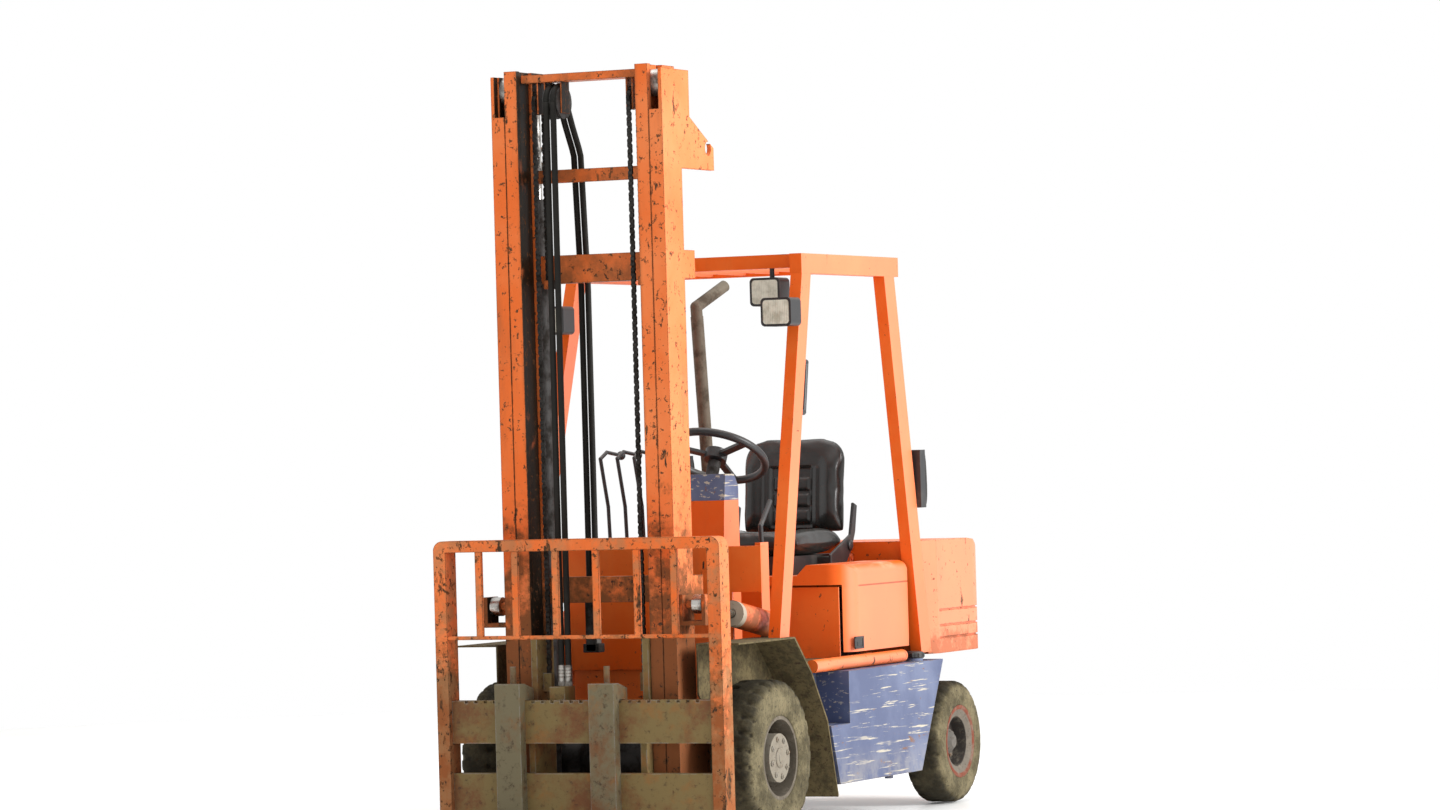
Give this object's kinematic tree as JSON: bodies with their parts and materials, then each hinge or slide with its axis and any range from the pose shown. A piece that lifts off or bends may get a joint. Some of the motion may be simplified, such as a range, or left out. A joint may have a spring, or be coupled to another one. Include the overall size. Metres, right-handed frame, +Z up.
{
  "type": "counterbalance lift truck",
  "caption": "Counterbalance lift truck with an upright two-stage mast, fork carriage with load backrest, overhead guard, seat on a hinged hood, and rear-wheel steering.",
  "frame": {"origin": "floor level under the middle of the overall box", "axes": "+X to the left side of the truck, +Y to its rear, +Z up"},
  "size_m": [1.158, 3.64, 2.752],
  "materials": {
    "orange_paint": "worn satin paint",
    "blue_paint": "scratched faded paint",
    "dirty_paint": "dirty dark paint",
    "cast_paint": "worn satin paint on cast iron",
    "rusty_steel": "worn paint over rust",
    "dark_steel": "greasy dark steel",
    "bright_steel": "worn bright steel",
    "engine": "dull",
    "tyre": "dusty rubber",
    "rim_grey": "dusty paint",
    "rim_brown": "dusty brown paint",
    "vinyl": "worn black vinyl",
    "black_plastic": "matte",
    "lens": "ribbed glass",
    "hose": "matte rubber",
    "exhaust": "heat-stained"
  },
  "bodies": {
    "chassis": {"frame": "orange_paint", "floor_plate": "dirty_paint", "front_bulkhead": "orange_paint", "dash_pedestal": "orange_paint", "column_cover": "blue_paint", "steering_column": "dark_steel", "control_levers": "bright_steel", "front_fenders": "dirty_paint", "side_tanks": "blue_paint", "toe_panel": "orange_paint", "engine_block": "engine", "counterweight": "cast_paint", "tow_pin": "dark_steel", "drive_axle": "dark_steel", "steer_axle": "dark_steel", "guard_legs": "orange_paint", "guard_roof": "orange_paint", "lamp_housings": "black_plastic", "lamp_lenses": "lens", "grab_handle": "black_plastic", "exhaust_stack": "exhaust"},
    "hood": {"hood_shell": "orange_paint", "seat_base": "black_plastic", "seat_cushion": "vinyl", "seat_back": "vinyl"},
    "steering": {"steering_wheel": "black_plastic"},
    "mast_outer": {"outer_mast": "orange_paint", "outer_rollers": "bright_steel", "lift_barrels": "dark_steel"},
    "mast_inner": {"inner_mast": "orange_paint", "inner_rollers": "bright_steel", "lift_rods": "bright_steel", "mast_sheaves": "dark_steel", "lift_chains": "dark_steel", "mast_hoses": "hose"},
    "carriage": {"carriage_frame": "rusty_steel", "load_backrest": "rusty_steel", "forks": "rusty_steel"},
    "front_wheel_left": {"front_tyre_left": "tyre", "front_rim_left": "rim_grey"},
    "rear_wheel_left": {"rear_tyre_left": "tyre", "rear_rim_left": "rim_brown"},
    "steer_knuckle_left": {"knuckle_left": "dark_steel"},
    "tilt_cylinder_left": {"tilt_barrel_left": "orange_paint"},
    "tilt_piston_left": {"tilt_rod_left": "bright_steel"},
    "front_wheel_right": {"front_tyre_right": "tyre", "front_rim_right": "rim_grey"},
    "rear_wheel_right": {"rear_tyre_right": "tyre", "rear_rim_right": "rim_brown"},
    "steer_knuckle_right": {"knuckle_right": "dark_steel"},
    "tilt_cylinder_right": {"tilt_barrel_right": "orange_paint"},
    "tilt_piston_right": {"tilt_rod_right": "bright_steel"}
  },
  "joints": [
    {"name": "front_wheel_left", "type": "hinge", "parent": "chassis", "child": "front_wheel_left", "pos_m": [0.494, -0.28, 0.283], "axis": [1, 0, 0], "continuous": true},
    {"name": "steer_left", "type": "hinge", "parent": "chassis", "child": "steer_knuckle_left", "pos_m": [0.43, 1.406, 0.236], "axis": [0, 0, 1], "range_deg": [-60, 60]},
    {"name": "rear_wheel_left", "type": "hinge", "parent": "steer_knuckle_left", "child": "rear_wheel_left", "pos_m": [0.486, 1.406, 0.236], "axis": [1, 0, 0], "continuous": true},
    {"name": "front_wheel_right", "type": "hinge", "parent": "chassis", "child": "front_wheel_right", "pos_m": [-0.494, -0.28, 0.283], "axis": [1, 0, 0], "continuous": true},
    {"name": "steer_right", "type": "hinge", "parent": "chassis", "child": "steer_knuckle_right", "pos_m": [-0.43, 1.406, 0.236], "axis": [0, 0, 1], "range_deg": [-60, 60]},
    {"name": "rear_wheel_right", "type": "hinge", "parent": "steer_knuckle_right", "child": "rear_wheel_right", "pos_m": [-0.486, 1.406, 0.236], "axis": [1, 0, 0], "continuous": true},
    {"name": "steering_wheel", "type": "hinge", "parent": "chassis", "child": "steering", "pos_m": [0.03, 0.4, 1.359], "axis": [0, 0.5, 0.866], "continuous": true},
    {"name": "mast_tilt", "type": "hinge", "parent": "chassis", "child": "mast_outer", "pos_m": [0, -0.28, 0.283], "axis": [-1, 0, 0], "range_deg": [-6, 10]},
    {"name": "lift", "type": "slide", "parent": "mast_outer", "child": "mast_inner", "axis": [0, 0, 1], "range_m": [0, 1.9], "deforming": ["lift_chains", "mast_hoses"]},
    {"name": "carriage_lift", "type": "slide", "parent": "mast_inner", "child": "carriage", "axis": [0, 0, 1], "range_m": [0, 1.9]},
    {"name": "tilt_barrel_left", "type": "hinge", "parent": "chassis", "child": "tilt_cylinder_left", "pos_m": [0.4, 0.05, 0.742], "axis": [-1, 0, 0], "range_deg": [-3.7, 6.1]},
    {"name": "tilt_rod_left", "type": "slide", "parent": "tilt_cylinder_left", "child": "tilt_piston_left", "axis": [0, -0.9862, 0.1657], "range_m": [-0.092, 0.056]},
    {"name": "tilt_barrel_right", "type": "hinge", "parent": "chassis", "child": "tilt_cylinder_right", "pos_m": [-0.4, 0.05, 0.742], "axis": [-1, 0, 0], "range_deg": [-3.7, 6.1]},
    {"name": "tilt_rod_right", "type": "slide", "parent": "tilt_cylinder_right", "child": "tilt_piston_right", "axis": [0, -0.9862, 0.1657], "range_m": [-0.092, 0.056]},
    {"name": "hood", "type": "hinge", "parent": "chassis", "child": "hood", "pos_m": [0, 1.115, 0.955], "axis": [-1, 0, 0], "range_deg": [0, 45]}
  ],
  "couplings": [
    {"joint": "steer_right", "follows": "steer_left", "ratio": 1},
    {"joint": "carriage_lift", "follows": "lift", "ratio": 1},
    {"joint": "tilt_barrel_left", "follows": "mast_tilt", "ratio": 0.597},
    {"joint": "tilt_rod_left", "follows": "mast_tilt", "m_per_rad": -0.512},
    {"joint": "tilt_barrel_right", "follows": "mast_tilt", "ratio": 0.597},
    {"joint": "tilt_rod_right", "follows": "mast_tilt", "m_per_rad": -0.512}
  ]
}
